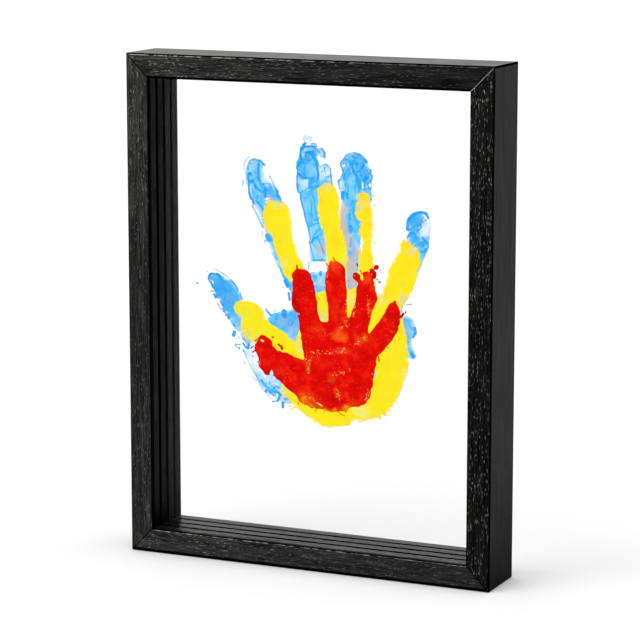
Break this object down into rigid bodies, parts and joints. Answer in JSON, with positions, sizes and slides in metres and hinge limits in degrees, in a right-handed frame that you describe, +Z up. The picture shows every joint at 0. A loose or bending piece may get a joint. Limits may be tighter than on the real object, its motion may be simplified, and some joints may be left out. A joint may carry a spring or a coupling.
{
  "type": "baby handprint frame",
  "caption": "Free-standing black wood frame with clear panes in grooves, one behind another, each with a painted handprint; the top rail lifts off so that the panes slide out.",
  "frame": {"origin": "middle of the base, on the surface that the frame stands on", "axes": "+Z up, +X to the right of someone who faces the front, -Y out of the front"},
  "size_m": [0.254, 0.042, 0.33],
  "materials": {
    "black_wood": "satin",
    "clear_acrylic": "polished",
    "red_paint": "satin",
    "yellow_paint": "satin",
    "blue_paint": "satin",
    "nail_steel": "satin",
    "pin_steel": "satin",
    "magnet_plating": "satin"
  },
  "bodies": {
    "frame": {"bottom_rail": "black_wood", "left_stile": "black_wood", "right_stile": "black_wood", "v_nails": "nail_steel", "locating_pins": "pin_steel", "stile_magnets": "magnet_plating"},
    "top_rail": {"top_rail": "black_wood", "top_rail_magnets": "magnet_plating"},
    "front_pane": {"front_pane": "clear_acrylic", "red_handprint": "red_paint"},
    "middle_pane": {"middle_pane": "clear_acrylic", "yellow_handprint": "yellow_paint"},
    "back_pane": {"back_pane": "clear_acrylic", "blue_handprint": "blue_paint"}
  },
  "joints": [
    {"name": "top_rail_lift", "type": "slide", "parent": "frame", "child": "top_rail", "axis": [0, 0, 1], "range_m": [0, 0.38]},
    {"name": "front_pane_slide", "type": "slide", "parent": "frame", "child": "front_pane", "axis": [0, 0, 1], "range_m": [0, 0.304]},
    {"name": "middle_pane_slide", "type": "slide", "parent": "frame", "child": "middle_pane", "axis": [0, 0, 1], "range_m": [0, 0.304]},
    {"name": "back_pane_slide", "type": "slide", "parent": "frame", "child": "back_pane", "axis": [0, 0, 1], "range_m": [0, 0.304]}
  ],
  "couplings": [
    {"joint": "front_pane_slide", "follows": "top_rail_lift", "ratio": 0.8},
    {"joint": "middle_pane_slide", "follows": "top_rail_lift", "ratio": 0.8},
    {"joint": "back_pane_slide", "follows": "top_rail_lift", "ratio": 0.8}
  ]
}
